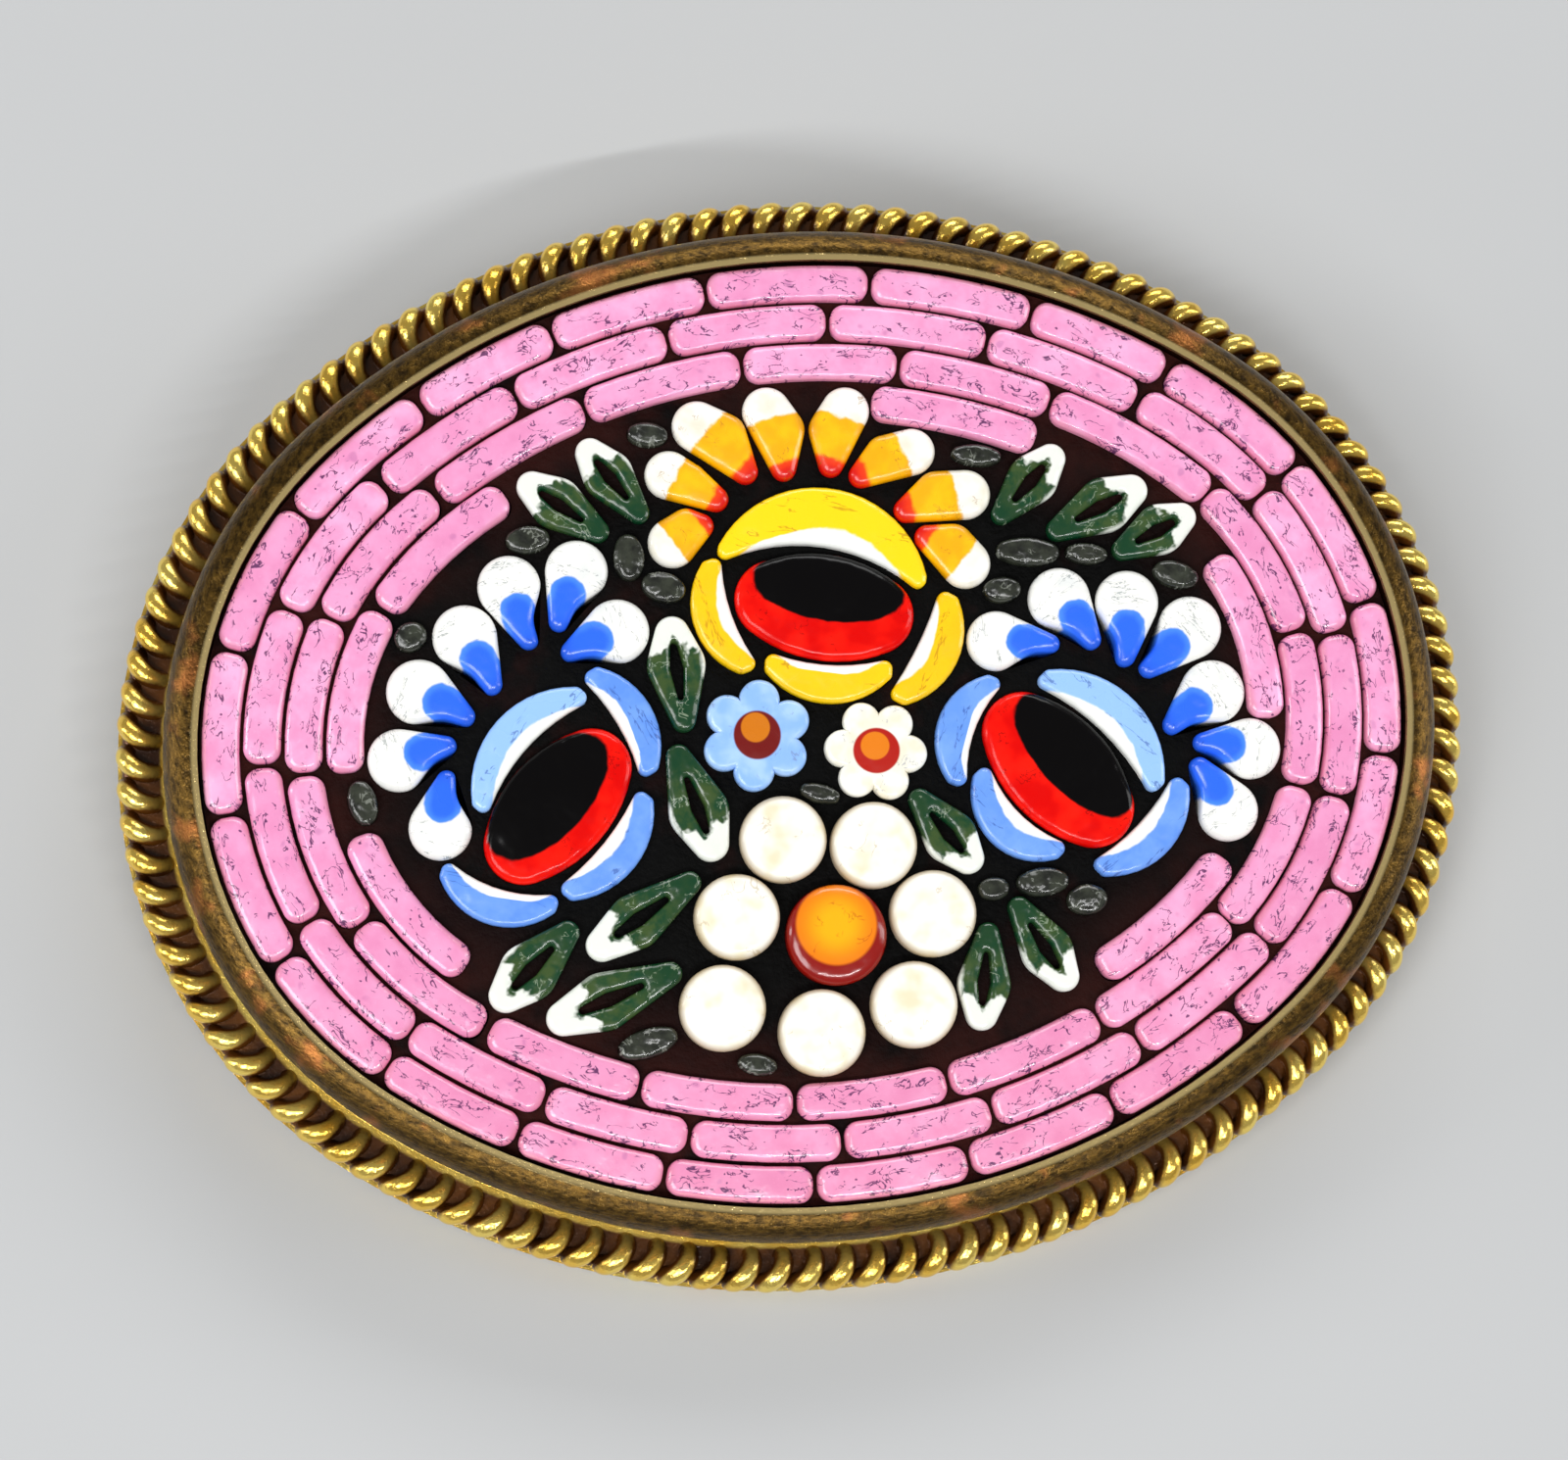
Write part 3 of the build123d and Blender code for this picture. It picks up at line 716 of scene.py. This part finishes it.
def make_stones(nodes, name, slot, finish, shoulder, ahead=None, aside=None, dents=(), tones=None):
    """The stones of some nodes, as one piece."""
    pieces = []
    for index, node in enumerate(nodes):
        piece = face_copy(node, node + "_cut")
        work_stones(piece, shoulder, ahead, dents[index] if dents else 0)
        lay_chart(piece, ahead, aside, node, (tones or {}).get(node))
        pieces.append(piece)
    set_down(join_pieces(pieces, name), slot, finish, *nodes)


def middle_of(node):
    """The middle of a node on the face, in millimetres."""
    low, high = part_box(node)
    return (FACE.inverted() @ ((low + high) / 2)).xy


def numbered(stem, count):
    """The names of a row of nodes."""
    return [f"{stem}_{number}" for number in range(1, count + 1)]


def outwards(middle):
    """The way from the face's middle to a stone."""
    return middle


pink = pink_finish()
for node, name in (("outer_rods", "rods_outer"), ("inner_rods", "rods_inner")):
    make_stones([node], name, "pink_glass", pink, ROD_SHOULDER, aside=outwards)

blue_petal, yellow_petal = blue_petal_finish(), yellow_petal_finish()
blue_crescent = crescent_finish(
    "blue_crescents", srgb(84, 138, 232), srgb(150, 194, 250), srgb(40, 70, 150),
)
yellow_crescent = crescent_finish(
    "yellow_crescents", srgb(244, 188, 4), srgb(252, 216, 10), srgb(180, 120, 10),
)
left_dents = (-1, -1, -1, 1, 1, 1, 1)
right_dents = (1, 1, 1, 1, -1, -1, -1)

# Each flower's dents, petals, finishes, slot and petal side, and its black oval's centre and half width
for flower, dents, count, petal, crescent, slot, side, black in (
    ("left", left_dents, 7, blue_petal, blue_crescent, "blue_glass", Vector((-1, 1)), (0.26, 0.76)),
    ("right", right_dents, 7, blue_petal, blue_crescent, "blue_glass", Vector((1, 1)), (0.36, 0.66)),
    ("yellow", (), 8, yellow_petal, yellow_crescent, "yellow_glass", Vector((0, 1)), (0.37, 0.65)),
):
    heart = middle_of(f"{flower}_eye")
    make_stones(
        numbered(f"{flower}_petal", count), f"{flower}_petals", slot, petal, PETAL_SHOULDER,
        ahead=lambda middle, heart=heart: middle - heart, dents=dents,
    )
    make_stones(
        numbered(f"{flower}_crescent", 4), f"{flower}_crescents", slot, crescent, SMALL_SHOULDER,
        aside=lambda middle, heart=heart: heart - middle, tones=CRESCENT_TONES,
    )
    heart_glass = eye_finish(f"{flower}_heart_glass", *black)
    make_stones(
        [f"{flower}_eye"], f"{flower}_heart", "dark_glass", heart_glass, PETAL_SHOULDER,
        aside=lambda middle, side=side: side,
    )

make_stones(
    ["leaves"], "slit_leaves", "green_glass", leaf_finish(), SMALL_SHOULDER,
    ahead=lambda middle: -middle,
)
make_stones(["white_beads"], "cream_beads", "white_glass", bead_finish(), BEAD_SHOULDER)
make_stones(["amber_bead"], "amber_heart", "amber_glass", amber_finish(), BEAD_SHOULDER)

# Each blossom's slot, lobe colours, heart and disc colours, the disc's shift and the heart's radius
for node, name, slot, lobe, pale, dark, disc, shift, heart in (
    (
        "pale_blossom", "blue_blossom", "blue_glass", srgb(140, 184, 246), srgb(170, 206, 252),
        srgb(112, 8, 5), srgb(206, 116, 8), (-0.02, 0.14), 0.42,
    ),
    (
        "white_blossom", "cream_blossom", "white_glass", srgb(248, 248, 240), srgb(236, 230, 208),
        srgb(176, 22, 6), srgb(226, 124, 12), (-0.02, 0.1), 0.44,
    ),
):
    blossom = blossom_finish(f"{name}_glass", lobe, pale, dark, disc, shift, heart)
    make_stones([node], name, slot, blossom, SMALL_SHOULDER)

make_stones(["grey_chips"], "dark_chips", "grey_glass", chip_finish(), SMALL_SHOULDER)


def dress(node, finish):
    """Gives a solid that stays as it is a better finish."""
    for material_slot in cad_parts[node].material_slots:
        material_slot.link = "OBJECT"
        material_slot.material = finish


dress("mosaic_bed", cement_finish())
gilt = gilt_finish()
dress("setting", gilt)
dress("brooch_pin", gilt)


# The room


def area_light(name, place, size, power):
    """A soft panel, placed in centimetres from the brooch, that faces it."""
    lamp = bpy.data.lights.new(name, "AREA")
    lamp.shape = "RECTANGLE"
    lamp.size, lamp.size_y = (side * CM for side in size)
    lamp.energy = power
    panel = bpy.data.objects.new(name, lamp)
    panel.location = Vector(place) * CM
    panel.rotation_euler = (-panel.location).to_track_quat("-Z", "Y").to_euler()
    bpy.context.collection.objects.link(panel)


for light in LIGHTS:
    area_light(*light)

world = bpy.data.worlds.new("studio")
world.use_nodes = True
world.node_tree.nodes["Background"].inputs["Color"].default_value = WORLD_COLOR
world.node_tree.nodes["Background"].inputs["Strength"].default_value = WORLD_STRENGTH
bpy.context.scene.world = world
bpy.context.scene.view_settings.view_transform = "Standard"

bpy.ops.object.select_all(action="DESELECT")
bpy.ops.mesh.primitive_plane_add(size=FLOOR_SIZE)
floor = bpy.context.object
floor.name = "floor"
ground = Finish("pale_floor")
ground_cloud = ground.noise(ground.place(), 0.02, 2, 0.5)
ground_paint = ground.mix(ground_cloud, *FLOOR_COLORS)
floor.data.materials.append(ground.surface(Base_Color=ground_paint, Roughness=0.8))

lens = bpy.data.cameras.new("camera")
lens.lens = CAMERA_LENS
lens.sensor_width = CAMERA_SENSOR
lens.clip_start = CAMERA_NEAR
camera = bpy.data.objects.new("camera", lens)
bpy.context.collection.objects.link(camera)
stand = CAMERA_DISTANCE * Vector((
    math.sin(CAMERA_TILT) * math.cos(CAMERA_HEADING),
    math.sin(CAMERA_TILT) * math.sin(CAMERA_HEADING),
    math.cos(CAMERA_TILT),
))
back = stand.normalized()
right = Vector((0, 1, 0)).cross(back).normalized()
aim = Matrix((right, back.cross(right), back)).transposed()
turns = [Matrix.Rotation(turn, 3, axis) for turn, axis in zip(CAMERA_TURNS, "XYZ")]
view = aim @ (turns[2] @ turns[1] @ turns[0]).transposed()
place = FACE @ (stand + Vector((0, 0, CAMERA_AIM_LEVEL)))
camera.matrix_world = Matrix.Translation(place) @ (FACE.to_3x3().normalized() @ view).to_4x4()
bpy.context.scene.camera = camera
